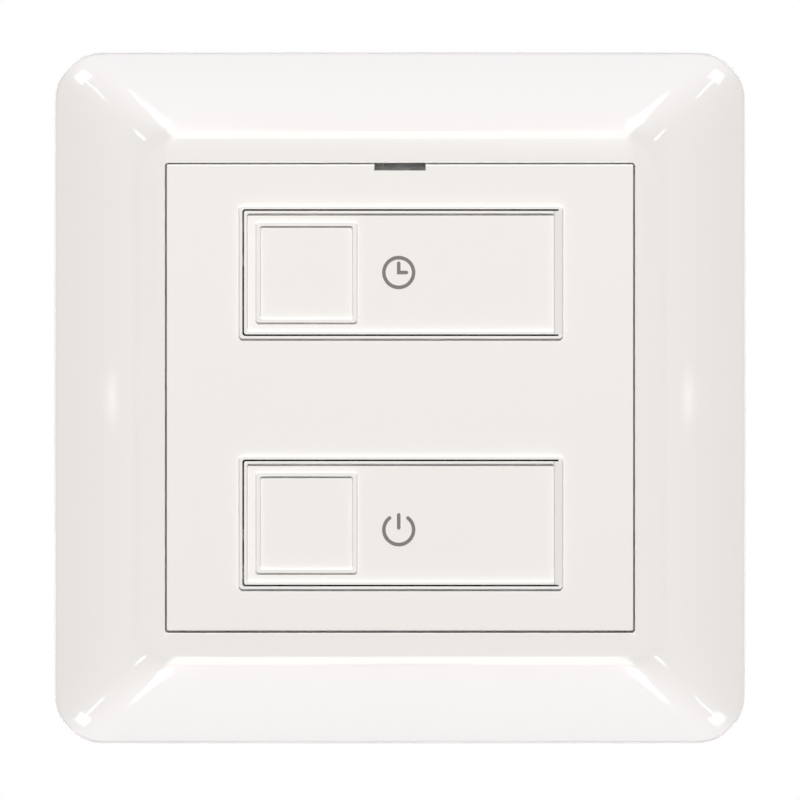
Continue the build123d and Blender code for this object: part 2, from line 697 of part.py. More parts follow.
def module_screws():
    part = screw(
        MODULE_SCREW_RADIUS, MODULE_SCREW_HEAD, MODULE_SCREW_HEAD_HEIGHT, MODULE_SCREW_LENGTH
    )
    return [Pos(x, 0, module_screw_seat()) * part for x in (-BOSS_X, BOSS_X)]


def lid_screws():
    part = screw(MODULE_SCREW_RADIUS, MODULE_SCREW_HEAD, MODULE_SCREW_HEAD_HEIGHT, LID_SCREW_LENGTH)
    turned = Rot(180, 0, 0) * part
    return [Pos(x, 0, LID_TOP) * turned for x in (-LID_BOSS_X, LID_BOSS_X)]


# Steel ring


def support_ring():
    ring = rounded(RING_SIDE, RING_SIDE, RING_CORNER, 0, RING_THICKNESS)
    edge_top = RING_THICKNESS + RING_EDGE_HEIGHT
    edge_middle = RING_SIDE / 2 - RING_THICKNESS / 2
    for side in (-edge_middle, edge_middle):
        for place in (-RING_EDGE_SPACING / 2, RING_EDGE_SPACING / 2):
            ring += centred_block(RING_THICKNESS, RING_EDGE_LENGTH, 0, edge_top, side, place)
            ring += centred_block(RING_EDGE_LENGTH, RING_THICKNESS, 0, edge_top, place, side)
    ring -= disc(RING_OPENING, 0, RING_THICKNESS)
    straight = BOX_SLOT_LENGTH - 2 * BOX_SLOT_RADIUS
    across = extrude(SlotCenterToCenter(straight, 2 * BOX_SLOT_RADIUS), RING_THICKNESS)
    upright = Rot(0, 0, 90) * across
    for place in (-BOX_SCREW_SPACING / 2, BOX_SCREW_SPACING / 2):
        ring -= Pos(place, 0, 0) * across
        ring -= Pos(0, place, 0) * upright
    for x, y in around(STAKE_COUNT, STAKE_PLACE):
        ring -= disc(STAKE_RADIUS + STAKE_CLEARANCE, 0, RING_THICKNESS, x, y)
    return ring


# Insert


def flat_disc(radius, flat, z0, z1):
    """A round slab with a flat along its lower side."""
    cut = block(-radius, radius, -2 * radius, -flat, z0, z1)
    return disc(radius, z0, z1) - cut


def insert_housing():
    shoulder = -INSERT_SHOULDER
    tub = disc(INSERT_RADIUS, shoulder, 0)
    tub += flat_disc(INSERT_RADIUS, TERMINAL_FLAT, INSERT_BACK, shoulder)
    tub = fillet(tub.edges().group_by(Axis.Z)[0], PART_ROUND)
    tub -= disc(INSERT_BORE, LID_BACK, 0)
    tub -= disc(INSERT_LOWER_BORE, shoulder + INSERT_WALL, LID_BACK)
    tub -= flat_disc(INSERT_LOWER_BORE, INSERT_INNER_FLAT, INSERT_FLOOR, shoulder + INSERT_WALL)
    wall_middle = (INSERT_LOWER_BORE + INSERT_RADIUS) / 2
    inside = disc(wall_middle, INSERT_FLOOR, LID_BACK)
    pilot = MODULE_SCREW_RADIUS + PILOT_CLEARANCE
    for x in (-LID_BOSS_X, LID_BOSS_X):
        boss = disc(LID_BOSS_RADIUS, INSERT_FLOOR, LID_BACK, x)
        boss += disc(LID_BOSS_RADIUS + BOARD_STEP, INSERT_FLOOR, POWER_BACK, x)
        tub += boss & inside
        tub -= disc(pilot, LID_TOP - LID_SCREW_LENGTH, LID_BACK, x)
    for x, y in around(STAKE_COUNT, STAKE_PLACE):
        tub += disc(STAKE_RADIUS, -INSERT_WALL, RING_THICKNESS, x, y)
        tub += disc(STAKE_HEAD_RADIUS, RING_THICKNESS, RING_THICKNESS + STAKE_HEAD_HEIGHT, x, y)
    screw_level = cage_middle()
    for x in TERMINAL_PLACES:
        tub -= disc(WIRE_HOLE_RADIUS, INSERT_BACK, INSERT_FLOOR, x, TERMINAL_Y)
        tub -= rod_along_y(DRIVER_HOLE_RADIUS, x, -TERMINAL_FLAT, -INSERT_INNER_FLAT, screw_level)
    return tub


def insert_lid():
    lid = disc(INSERT_BORE - LID_CLEARANCE, LID_BACK, LID_TOP)
    window = PIN_ROW_LENGTH + 2 * SOCKET_WINDOW_MARGIN
    window_height = SOCKET_WIDTH + 2 * SOCKET_WINDOW_MARGIN
    lid -= centred_block(window, window_height, LID_BACK, LID_TOP, 0, PIN_ROW_Y)
    for x in (-LID_BOSS_X, LID_BOSS_X):
        lid -= disc(MODULE_SCREW_RADIUS + PASSING_CLEARANCE, LID_BACK, LID_TOP, x)
    for x in (-LID_POST_X, LID_POST_X):
        lid += disc(LID_POST_RADIUS, POWER_FRONT, LID_BACK, x, LID_POST_Y)
    return lid


# Power board and its parts


def power_board():
    radius = INSERT_LOWER_BORE - POWER_BOARD_CLEARANCE
    flat = INSERT_INNER_FLAT - POWER_BOARD_CLEARANCE
    board = flat_disc(radius, flat, POWER_BACK, POWER_FRONT)
    for x in (-LID_BOSS_X, LID_BOSS_X):
        board -= disc(LID_BOSS_RADIUS + PASSING_CLEARANCE, POWER_BACK, POWER_FRONT, x)
    slot_width = BAR_WIDTH + 2 * BAR_FIT
    slot_height = BAR_THICKNESS + 2 * BAR_FIT
    for x in TERMINAL_PLACES:
        board -= centred_block(slot_width, slot_height, POWER_BACK, POWER_FRONT, x, bar_y())
    return board


def socket_strip():
    socket = centred_block(PIN_ROW_LENGTH, SOCKET_WIDTH, POWER_FRONT, SOCKET_TOP, 0, PIN_ROW_Y)
    hole = PIN_SIDE + 2 * PIN_FIT
    hole_floor = SOCKET_TOP - PIN_DIPS_IN - PIN_FIT
    for x in PIN_PLACES:
        socket -= centred_block(hole, hole, hole_floor, SOCKET_TOP, x, PIN_ROW_Y)
    return socket


def hanging_box(length, width, height, x, y):
    """A boxy part on the back of the power board, with its far edges rounded."""
    part = centred_block(length, width, POWER_BACK - height, POWER_BACK, x, y)
    upright = part.edges().filter_by(Axis.Z)
    lowest = part.edges().group_by(Axis.Z)[0]
    return fillet(upright + lowest, PART_ROUND)


def relay():
    return hanging_box(RELAY_LENGTH, RELAY_WIDTH, RELAY_HEIGHT, 0, RELAY_Y)


def film_capacitor():
    return hanging_box(
        FILM_CAPACITOR_LENGTH, FILM_CAPACITOR_WIDTH, FILM_CAPACITOR_HEIGHT, 0, FILM_CAPACITOR_Y
    )


def beside_wall(angle, half_width, half_depth):
    """The place of a part beside the insert's round wall, turned to face the middle."""
    reach = INSERT_LOWER_BORE - PART_WALL_GAP
    distance = math.sqrt(reach**2 - half_width**2) - half_depth
    return Rot(0, 0, angle) * Pos(distance, 0, 0)


def smoothing_capacitor():
    can = disc(ELECTROLYTIC_RADIUS, POWER_BACK - ELECTROLYTIC_HEIGHT, POWER_BACK)
    can = fillet(can.edges().group_by(Axis.Z)[0], PART_ROUND)
    return beside_wall(ELECTROLYTIC_ANGLE, 0, ELECTROLYTIC_RADIUS) * can


def varistor():
    """A coated disc standing on edge, with a short foot on the board."""
    centre = POWER_BACK - VARISTOR_STANDOFF - VARISTOR_RADIUS
    half = VARISTOR_THICKNESS / 2
    body = rod_along_x(VARISTOR_RADIUS, -half, half, 0, centre)
    body = fillet(body.edges().filter_by(GeomType.CIRCLE), VARISTOR_ROUND)
    foot = centred_block(VARISTOR_FOOT_THICKNESS, VARISTOR_FOOT_WIDTH, centre, POWER_BACK)
    return beside_wall(VARISTOR_ANGLE, VARISTOR_RADIUS, half) * (body + foot)


def fuse():
    """A round plug-in fuse with a rounded cap."""
    middle = THIRD_ROW_Y + FUSE_RADIUS
    body = disc(FUSE_RADIUS, POWER_BACK - FUSE_HEIGHT, POWER_BACK, FUSE_X, middle)
    return fillet(body.edges().group_by(Axis.Z)[0], PART_ROUND)


def choke():
    """A drum core: two flanges on a wound waist."""
    foot = POWER_BACK - CHOKE_HEIGHT
    middle = THIRD_ROW_Y + CHOKE_RADIUS
    drum = disc(CHOKE_RADIUS, foot, foot + CHOKE_FLANGE, CHOKE_X, middle)
    drum += disc(CHOKE_RADIUS, POWER_BACK - CHOKE_FLANGE, POWER_BACK, CHOKE_X, middle)
    return drum + disc(CHOKE_WAIST, foot, POWER_BACK, CHOKE_X, middle)


def rectifier():
    top = POWER_FRONT + RECTIFIER_HEIGHT
    part = centred_block(RECTIFIER_LENGTH, RECTIFIER_WIDTH, POWER_FRONT, top, 0, RECTIFIER_Y)
    return chamfer(part.edges().group_by(Axis.Z)[-1], PART_ROUND)


# Terminals


def cage_middle():
    """The level of the clamp cages' middles."""
    return INSERT_FLOOR + BLOCK_FLOOR + CAGE_HEIGHT / 2


def bar_y():
    """The bars' middle: they lie against the cages' inner far side."""
    return TERMINAL_Y + CAGE_MOUTH_DEPTH / 2 - BAR_THICKNESS / 2 - BAR_FIT


def terminal_block():
    half = TERMINAL_PITCH * (TERMINAL_COUNT - 1) / 2 + CAGE_WIDTH / 2 + BLOCK_SIDE_WALL
    front = -INSERT_INNER_FLAT
    body = block(-half, half, front, BLOCK_BACK_Y, INSERT_FLOOR, POWER_BACK)
    body = body & disc(INSERT_LOWER_BORE - BLOCK_WALL_CLEARANCE, INSERT_FLOOR, POWER_BACK)
    chamber_floor = INSERT_FLOOR + BLOCK_FLOOR
    width = CAGE_WIDTH + 2 * CAGE_FIT
    depth = CAGE_DEPTH + 2 * CAGE_FIT
    for x in TERMINAL_PLACES:
        body -= centred_block(width, depth, chamber_floor, POWER_BACK, x, TERMINAL_Y)
        body -= disc(WIRE_HOLE_RADIUS, INSERT_FLOOR, chamber_floor, x, TERMINAL_Y)
        body -= rod_along_y(DRIVER_HOLE_RADIUS, x, front, TERMINAL_Y, cage_middle())
    return body


def terminal_cages():
    bottom = INSERT_FLOOR + BLOCK_FLOOR
    top = bottom + CAGE_HEIGHT
    cages = []
    for x in TERMINAL_PLACES:
        cage = centred_block(CAGE_WIDTH, CAGE_DEPTH, bottom, top, x, TERMINAL_Y)
        cage -= centred_block(CAGE_MOUTH_WIDTH, CAGE_MOUTH_DEPTH, bottom, top, x, TERMINAL_Y)
        thread = CLAMP_SCREW_RADIUS + PILOT_CLEARANCE
        cage -= rod_along_y(thread, x, TERMINAL_Y - CAGE_DEPTH / 2, TERMINAL_Y, cage_middle())
        cages.append(cage)
    return cages


def terminal_screws():
    """Clamp screws backed out, with their heads against the cages' threaded side."""
    seat = TERMINAL_Y - CAGE_DEPTH / 2
    length = (CAGE_DEPTH - CAGE_MOUTH_DEPTH) / 2
    part = screw(CLAMP_SCREW_RADIUS, CLAMP_SCREW_HEAD, CLAMP_SCREW_HEAD_HEIGHT, length)
    turned = Rot(-90, 0, 0) * part
    return [Pos(x, seat, cage_middle()) * turned for x in TERMINAL_PLACES]


def terminal_bars():
    bottom = INSERT_FLOOR + BLOCK_FLOOR
    top = POWER_FRONT + BAR_THICKNESS
    return [centred_block(BAR_WIDTH, BAR_THICKNESS, bottom, top, x, bar_y()) for x in TERMINAL_PLACES]


def panel():
    """Every piece of the panel by its name, lying on its back."""
    pieces = {
        "cover_frame": cover_frame(),
        "centre_plate": centre_plate(),
        "control_board": control_board(),
        "controller_chip": controller_chip(),
        "clock_crystal": clock_crystal(),
        "board_resistors": board_resistors(),
        "pin_header": pin_header(),
        "header_pins": header_pins(),
        "module_back": module_back(),
        "module_screws": module_screws(),
        "support_ring": support_ring(),
        "insert_housing": insert_housing(),
        "insert_lid": insert_lid(),
        "lid_screws": lid_screws(),
        "power_board": power_board(),
        "socket_strip": socket_strip(),
        "relay": relay(),
        "film_capacitor": film_capacitor(),
        "smoothing_capacitor": smoothing_capacitor(),
        "varistor": varistor(),
        "fuse": fuse(),
        "choke": choke(),
        "rectifier": rectifier(),
        "terminal_block": terminal_block(),
        "terminal_cages": terminal_cages(),
        "terminal_screws": terminal_screws(),
        "terminal_bars": terminal_bars(),
    }
    for name, middle in KEY_MIDDLES.items():
        pieces[f"{name}_key"] = key(middle)
        pieces[f"{name}_key_hinge"] = key_hinge(middle)
        pieces[f"{name}_switch"] = switch_body(middle)
        pieces[f"{name}_switch_stem"] = switch_stem(middle)
    return pieces


def stood_up(piece):
    """The piece, or the group of pieces, turned so that the wall stands upright behind it."""
    upright = Rot(90, 0, 0)
    if isinstance(piece, list):
        return Compound(children=[upright * solid for solid in piece])
    return upright * piece


def main():
    os.makedirs("parts", exist_ok=True)
    for name, piece in panel().items():
        export_step(stood_up(piece), f"parts/{name}.step")
    print(f"hinge axis at X {HINGE_X:.3f}, Y {-HINGE_Z:.3f}")
    print(f"switch at X {SQUARE_X:.3f}, arm {ARM:.3f}, stem travel {KEY_TRAVEL:.3f}")
    print(f"insert depth {-INSERT_BACK:.2f}, switch height {SWITCH_TOP - BOARD_FRONT:.2f}")


main()
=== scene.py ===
import json
import math

import bpy
from mathutils import Matrix, Vector


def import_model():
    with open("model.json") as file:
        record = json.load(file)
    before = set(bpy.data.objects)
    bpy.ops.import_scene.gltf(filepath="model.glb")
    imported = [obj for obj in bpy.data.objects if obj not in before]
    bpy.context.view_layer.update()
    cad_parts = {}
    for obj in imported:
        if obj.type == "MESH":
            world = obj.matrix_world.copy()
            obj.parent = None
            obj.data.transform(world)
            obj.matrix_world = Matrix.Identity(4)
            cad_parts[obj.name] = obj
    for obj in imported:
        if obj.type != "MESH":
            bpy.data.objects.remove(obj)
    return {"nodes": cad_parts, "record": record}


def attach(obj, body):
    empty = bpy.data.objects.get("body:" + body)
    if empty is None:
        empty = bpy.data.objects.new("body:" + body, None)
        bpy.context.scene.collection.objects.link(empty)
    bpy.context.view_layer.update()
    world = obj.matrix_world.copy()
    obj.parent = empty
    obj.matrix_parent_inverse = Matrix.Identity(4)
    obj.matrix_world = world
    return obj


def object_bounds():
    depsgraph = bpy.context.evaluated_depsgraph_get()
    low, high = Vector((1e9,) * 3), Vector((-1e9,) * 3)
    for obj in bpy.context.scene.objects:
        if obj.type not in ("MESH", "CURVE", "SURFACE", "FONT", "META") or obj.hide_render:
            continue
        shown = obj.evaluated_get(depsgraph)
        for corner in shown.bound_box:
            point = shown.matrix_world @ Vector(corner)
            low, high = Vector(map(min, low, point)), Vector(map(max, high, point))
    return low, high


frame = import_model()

CAD_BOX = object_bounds()
MM = 0.001

# Camera: square on to the keys, far away
VIEW_WIDTH = 93.85 * MM
VIEW_CENTRE_Z = -0.26 * MM
CAMERA_DISTANCE = 4.2
CAMERA_REACH = 200
SENSOR_WIDTH = 36.0

# Floor, in metres: far below the panel
FLOOR_DROP = 6.0
FLOOR_SIDE = 120.0

# Pieces that lie inside the cover frame and are lit from above
INSIDE = ("centre_plate", "timer_key", "off_key", "timer_key_hinge", "off_key_hinge")

# Shading: edges sharper than this many degrees stay sharp, points closer than this are joined
SHARP_ANGLE = 28
WELD = 1e-6

# The range that most of a noise's values lie in
NOISE_LOW = 0.3
NOISE_HIGH = 0.7

# Signs: their size, their left end, the heights of their middles and the front of the keys
SIGN_HEIGHT = 3.9 * MM
SIGN_LEFT = -2.1 * MM
SIGN_STROKE = 0.42 * MM
SIGN_THICKNESS = 0.02 * MM
TIMER_SIGN_MIDDLE = 14.67 * MM
OFF_SIGN_MIDDLE = -15.43 * MM
KEY_FACE = -10.0 * MM

# Parts of the signs, as shares of the ring's radius, and half the ring's opening in degrees
UPRIGHT_HAND = 0.62
LEVEL_HAND = 0.52
BAR_FOOT = 0.12
RING_OPENING = 38

# Pen lines: a path whose ends are closer than the gap is closed, and the turn keeps sharp corners short
CLOSED_GAP = 1e-9
SHARPEST_TURN = 0.3

# Lights are described by angles in degrees: polar from the camera's line, azimuth from the panel's
# right, width round the camera's line and height away from it. soft is how much of the width and of
# the height fades out at each end, and taper is explained at light().
LIGHT_DISTANCE = 3.0
FILL_SOFT = (0.3, 0.3)
FRONT_FILL = dict(polar=0, azimuth=90, width=80, height=80, radiance=2.655, soft=FILL_SOFT)
SIDE_FILL = dict(polar=62, width=60, height=50, radiance=1.5, soft=FILL_SOFT)
TOP_BOX = dict(polar=40, azimuth=90, width=20, height=16, radiance=88.2, soft=FILL_SOFT)
EDGE_BOX = dict(polar=132, width=100, height=64, radiance=2.7, soft=(0.2, 0.3))

# Strips along the crest: azimuth, polar angles of the near and the far end, and how soft the ends are
CREST_STRIPS = ((90, -0.4, 41.5, 0.14), (-90, 2.0, 38.5, 0.08))
CREST_WIDTH = 20
CREST_RADIANCE = 5.0
CREST_SIDE_SOFT = 0.1
CREST_TAPER = 0.1

# Streaks in each corner: how many degrees to the side of straight up or down they stand, and their box
CORNER_BOXES = (
    ("horn_box", 7.6, dict(polar=49, width=9, height=17, radiance=5.5, soft=(0.1, 0.25), taper=1.25)),
    ("streak_head", 42, dict(polar=57.3, width=15, height=4.8, radiance=6.0, soft=(0.1, 0.2))),
    ("streak_tail", 42, dict(polar=52.2, width=3.4, height=7.5, radiance=6.0, soft=(0.25, 0.2), taper=0.35)),
    ("streak_end", 42, dict(polar=37.3, width=2.3, height=5.5, radiance=9.0, soft=(0.25, 0.3))),
)

# Glow half-way down each side of the cover frame, from a small light close to the spot it aims at
GLOW_POLAR = 55
GLOW_AIM_X = 33.7 * MM
GLOW_AIM_Y = -8 * MM
GLOW_DISTANCE = 90 * MM
GLOW_SIZE = (9 * MM, 14 * MM)
GLOW_RADIANCE = 3.0
GLOW_SOFT = (0.5, 0.5)

# Surround: how brightly it lights the panel in front and behind
FRONT_GLOW = 0.01
BACK_GLOW = 0.9

# What the gloss mirrors of the surround: dim in front, brighter at the sides, a bright and slightly
# blue band above and below
FRONT_SHEEN = 0.1
SIDE_SHEEN = 1.4
BACK_SHEEN = 0.6
SKY_SHEEN = 5.0
SKY_TINT = (1.0, 1.0, 1.13, 1.0)
WHITE = (1.0, 1.0, 1.0, 1.0)

# Where parts of the surround pass into each other: depth is -1 in front of the panel and 1 behind it,
# height is 0 on the level and 1 straight up or down
GLOW_DEPTHS = (-0.1, 0.4)
FRONT_SHEEN_DEPTHS = (-0.95, -0.7)
BACK_SHEEN_DEPTHS = (-0.22, 0.3)
SKY_HEIGHTS = (0.35, 0.95)


# Materials


class Skin:
    """A material under construction: its nodes, links and Principled shader."""

    def __init__(self, name):
        self.material = bpy.data.materials.new(name)
        self.material.use_nodes = True
        self.nodes = self.material.node_tree.nodes
        self.links = self.material.node_tree.links
        self.shader = self.nodes["Principled BSDF"]
        self.place = self.nodes.new("ShaderNodeTexCoord").outputs["Object"]

    def noise(self, size, detail, place=None):
        """Cloudy noise whose features are about this size, in metres."""
        node = self.nodes.new("ShaderNodeTexNoise")
        node.inputs["Scale"].default_value = 1 / size
        node.inputs["Detail"].default_value = detail
        self.links.new(place or self.place, node.inputs["Vector"])
        return node.outputs["Fac"]

    def stretched(self, x, y, z):
        """The place on the surface, stretched along the axes by these factors."""
        node = self.nodes.new("ShaderNodeMapping")
        node.inputs["Scale"].default_value = (x, y, z)
        self.links.new(self.place, node.inputs["Vector"])
        return node.outputs["Vector"]

    def mix(self, factor, first, second):
        """A colour between two, each a colour or an output."""
        node = self.nodes.new("ShaderNodeMix")
        node.data_type = "RGBA"
        self.links.new(factor, node.inputs["Factor"])
        for name, colour in (("A", first), ("B", second)):
            socket = [s for s in node.inputs if s.name == name and s.type == "RGBA"][0]
            if isinstance(colour, tuple):
                socket.default_value = (*colour, 1)
            else:
                self.links.new(colour, socket)
        return [s for s in node.outputs if s.type == "RGBA"][0]

    def colour(self, factor, first, second):
        """A base colour between two, each a colour or an output."""
        self.links.new(self.mix(factor, first, second), self.shader.inputs["Base Color"])

    def rough(self, noise, smoothest, roughest):
        """Roughness between these two, following the noise."""
        node = self.nodes.new("ShaderNodeMapRange")
        node.inputs["From Min"].default_value = NOISE_LOW
        node.inputs["From Max"].default_value = NOISE_HIGH
        node.inputs["To Min"].default_value = smoothest
        node.inputs["To Max"].default_value = roughest
        self.links.new(noise, node.inputs["Value"])
        self.links.new(node.outputs["Result"], self.shader.inputs["Roughness"])

    def bump(self, height, depth):
        """Relief of this depth in metres from a height between 0 and 1."""
        node = self.nodes.new("ShaderNodeBump")
        node.inputs["Strength"].default_value = 1.0
        node.inputs["Distance"].default_value = depth
        self.links.new(height, node.inputs["Height"])
        self.links.new(node.outputs["Normal"], self.shader.inputs["Normal"])


def shade(colour, factor):
    return tuple(min(1.0, c * factor) for c in colour)


def white_gloss(name, white):
    """Polished white moulding: faint flow clouds in colour and gloss, and a trace of orange peel."""
    skin = Skin(name)
    skin.colour(skin.noise(14 * MM, 3), shade(white, 0.994), shade(white, 1.006))
    skin.rough(skin.noise(5 * MM, 2), 0.05, 0.07)
    skin.bump(skin.noise(2.2 * MM, 1), 0.0004 * MM)
    return skin.material


def moulded(name, colour, roughness, relief, grain=0.22 * MM):
    """A matt moulding with a spark-eroded grain, rubbed a little smoother in patches."""
    skin = Skin(name)
    clouds = skin.noise(6 * MM, 3)
    skin.colour(clouds, shade(colour, 0.93), shade(colour, 1.07))
    skin.rough(clouds, roughness - 0.06, roughness + 0.06)
    skin.bump(skin.noise(grain, 3), relief)
    return skin.material


def board_laminate():
    """Green solder mask over woven glass, with copper tracks that show through."""
    skin = Skin("board_laminate")
    mask = (0.012, 0.05, 0.028)
    mask_on_copper = (0.03, 0.09, 0.055)
    tracks = skin.nodes.new("ShaderNodeTexBrick")
    tracks.inputs["Scale"].default_value = 1.0
    tracks.inputs["Brick Width"].default_value = 5.2 * MM
    tracks.inputs["Row Height"].default_value = 1.3 * MM
    tracks.inputs["Mortar Size"].default_value = 0.14 * MM
    tracks.inputs["Mortar Smooth"].default_value = 0.1
    turned = skin.nodes.new("ShaderNodeMapping")
    turned.inputs["Rotation"].default_value = (math.radians(90), 0, 0)
    skin.links.new(skin.place, turned.inputs["Vector"])
    skin.links.new(turned.outputs["Vector"], tracks.inputs["Vector"])
    weave = skin.noise(0.35 * MM, 1, skin.stretched(1, 1, 4))
    ground = skin.mix(weave, shade(mask, 0.9), shade(mask, 1.1))
    skin.colour(tracks.outputs["Fac"], ground, mask_on_copper)
    skin.rough(weave, 0.22, 0.3)
    skin.bump(tracks.outputs["Fac"], 0.03 * MM)
    return skin.material


def metal(name, colour, roughness, spread, stretch=(1, 1, 1)):
    """A metal whose colour and polish vary in clouds or along a drawing direction."""
    skin = Skin(name)
    skin.shader.inputs["Metallic"].default_value = 1.0
    clouds = skin.noise(7 * MM, 4)
    lines = skin.noise(1.5 * MM, 3, skin.stretched(*stretch))
    skin.colour(clouds, shade(colour, 0.88), shade(colour, 1.1))
    skin.rough(lines, roughness - spread, roughness + spread)
    skin.bump(lines, 0.004 * MM)
    return skin.material


def ink():
    """Grey pad print with slightly uneven cover."""
    skin = Skin("grey_ink")
    grey = (0.205, 0.19, 0.178)
    cover = skin.noise(0.25 * MM, 2)
    skin.colour(cover, shade(grey, 0.92), shade(grey, 1.08))
    skin.rough(cover, 0.38, 0.5)
    return skin.material


def finishes():
    """The material for each of the record's slots."""
    return {
        "white_gloss": white_gloss("white_gloss", (0.868, 0.836, 0.803)),
        "grey_plastic": moulded("grey_plastic", (0.52, 0.53, 0.53), 0.5, 0.01 * MM),
        "black_plastic": moulded("black_plastic", (0.03, 0.03, 0.032), 0.45, 0.008 * MM),
        "red_plastic": moulded("red_plastic", (0.55, 0.04, 0.03), 0.3, 0.003 * MM),
        "blue_plastic": moulded("blue_plastic", (0.05, 0.13, 0.4), 0.3, 0.004 * MM, 0.5 * MM),
        "yellow_plastic": moulded("yellow_plastic", (0.75, 0.52, 0.09), 0.3, 0.003 * MM, 0.4 * MM),
        "board_laminate": board_laminate(),
        "zinc_steel": metal("zinc_steel", (0.63, 0.64, 0.62), 0.32, 0.07),
        "can_aluminium": metal("can_aluminium", (0.76, 0.76, 0.77), 0.25, 0.06, (1, 14, 1)),
        "pin_brass": metal("pin_brass", (0.72, 0.55, 0.24), 0.22, 0.05, (1, 10, 1)),
    }


def smoothing_group():
    """Geometry nodes that join a CAD mesh's facets and shade them as the curves they stand for."""
    group = bpy.data.node_groups.new("smooth_%g" % SHARP_ANGLE, "GeometryNodeTree")
    group.interface.new_socket("Geometry", in_out="INPUT", socket_type="NodeSocketGeometry")
    group.interface.new_socket("Geometry", in_out="OUTPUT", socket_type="NodeSocketGeometry")
    nodes = group.nodes
    links = group.links
    source = nodes.new("NodeGroupInput")
    merge = nodes.new("GeometryNodeMergeByDistance")
    merge.inputs["Distance"].default_value = WELD
    faces = nodes.new("GeometryNodeSetShadeSmooth")
    faces.domain = "FACE"
    bend = nodes.new("GeometryNodeInputMeshEdgeAngle")
    sharp = nodes.new("FunctionNodeCompare")
    sharp.operation = "GREATER_THAN"
    sharp.inputs["B"].default_value = math.radians(SHARP_ANGLE)
    edges = nodes.new("GeometryNodeSetShadeSmooth")
    edges.domain = "EDGE"
    edges.inputs["Shade Smooth"].default_value = False
    target = nodes.new("NodeGroupOutput")
    links.new(source.outputs[0], merge.inputs["Geometry"])
    links.new(merge.outputs["Geometry"], faces.inputs["Geometry"])
    links.new(faces.outputs["Geometry"], edges.inputs["Geometry"])
    links.new(bend.outputs["Unsigned Angle"], sharp.inputs["A"])
    links.new(sharp.outputs["Result"], edges.inputs["Selection"])
    links.new(edges.outputs["Geometry"], target.inputs[0])
    return group


def dress(skins):
    """Gives every CAD node its slot's material, and shades its curves smooth and its flats flat.

    The film hinges are thin and the same moulding as the plate; their white is darkened, as painted shade
    for the grey of their band.
    """
    # painted shade: the film hinges get a darker copy of the plate's white
    painted_shade_film = white_gloss("white_film_painted_shade", (0.795, 0.775, 0.755))
    group = smoothing_group()
    slots = {part["node"]: part["material_slot"] for part in frame["record"]["subparts"]}
    for name, obj in frame["nodes"].items():
        obj.data.materials.clear()
        obj.data.materials.append(painted_shade_film if name.endswith("_hinge") else skins[slots[name]])
        joined = obj.modifiers.new("smooth", "NODES")
        joined.node_group = group
        weighted = obj.modifiers.new("weighted", "WEIGHTED_NORMAL")
        weighted.mode = "FACE_AREA"
        weighted.weight = 100
        weighted.keep_sharp = True


# Signs on the keys


def arc(radius, start, end, steps):
    """Points on an arc, its angles in degrees turning clockwise from the top."""
    angles = [math.radians(start + (end - start) * i / steps) for i in range(steps + 1)]
    return [Vector((radius * math.sin(a), radius * math.cos(a))) for a in angles]


def rounded_end(point, direction, half):
    """The outer points of a stroke's round end."""
    across = Vector((-direction.y, direction.x))
    turns = [math.radians(angle) for angle in (90, 54, 18, -18, -54, -90)]
    return [point + (across * math.sin(t) + direction * math.cos(t)) * half for t in turns]


def stroke(path, half):
    """The two sides of a pen line along the path, and whether the path is closed."""
    closed = (path[0] - path[-1]).length < CLOSED_GAP
    count = len(path)
    left = []
    right = []
    for i, point in enumerate(path):
        before = path[i - 1] if i else (path[-2] if closed else None)
        after = path[i + 1] if i < count - 1 else (path[1] if closed else None)
        entering = (point - before).normalized() if before else (after - point).normalized()
        leaving = (after - point).normalized() if after else entering
        along = (entering + leaving).normalized()
        across = Vector((-along.y, along.x)) / max(SHARPEST_TURN, along.dot(entering))
        left.append(point + across * half)
        right.append(point - across * half)
    return left, right, closed


def sign(name, strokes, middle, body, skin):
    """Thin raised print on a key, drawn in pen strokes round the sign's middle."""
    verts = []
    faces = []
    centre_x = SIGN_LEFT + SIGN_HEIGHT / 2
    front = KEY_FACE - SIGN_THICKNESS
    for path in strokes:
        left, right, closed = stroke(path, SIGN_STROKE / 2)
        first = len(verts)
        n = len(left)
        for level in (front, KEY_FACE):
            verts += [(centre_x + p.x, level, middle + p.y) for p in left + right]
        for i in range(n - 1):
            a, b = first + i, first + i + 1
            c, d = a + n, b + n
            faces += [(a, b, d, c), (a, a + 2 * n, b + 2 * n, b), (c, d, d + 2 * n, c + 2 * n)]
        if not closed:
            entering = (path[1] - path[0]).normalized()
            leaving = (path[-1] - path[-2]).normalized()
            for point, direction in ((path[0], -entering), (path[-1], leaving)):
                end = rounded_end(point, direction, SIGN_STROKE / 2)
                start = len(verts)
                verts += [(centre_x + p.x, front, middle + p.y) for p in end]
                faces.append(tuple(range(start, start + len(end))))
    mesh = bpy.data.meshes.new(name)
    mesh.from_pydata(verts, [], faces)
    mesh.validate()
    made = bpy.data.objects.new(name, mesh)
    bpy.context.scene.collection.objects.link(made)
    mesh.materials.append(skin)
    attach(made, body)
    return made


def signs():
    """A clock on the timer key and an open ring with a bar on the off key."""
    skin = ink()
    radius = (SIGN_HEIGHT - SIGN_STROKE) / 2
    dial = arc(radius, 0, 360, steps=72)
    hands = [Vector((0, radius * UPRIGHT_HAND)), Vector((0, 0)), Vector((radius * LEVEL_HAND, 0))]
    broken = arc(radius, RING_OPENING, 360 - RING_OPENING, steps=60)
    bar = [Vector((0, radius)), Vector((0, radius * BAR_FOOT))]
    return [
        sign("timer_sign", [dial, hands], TIMER_SIGN_MIDDLE, "timer_tongue", skin),
        sign("off_sign", [broken, bar], OFF_SIGN_MIDDLE, "off_tongue", skin),
    ]


# Lights, surround, floor and camera


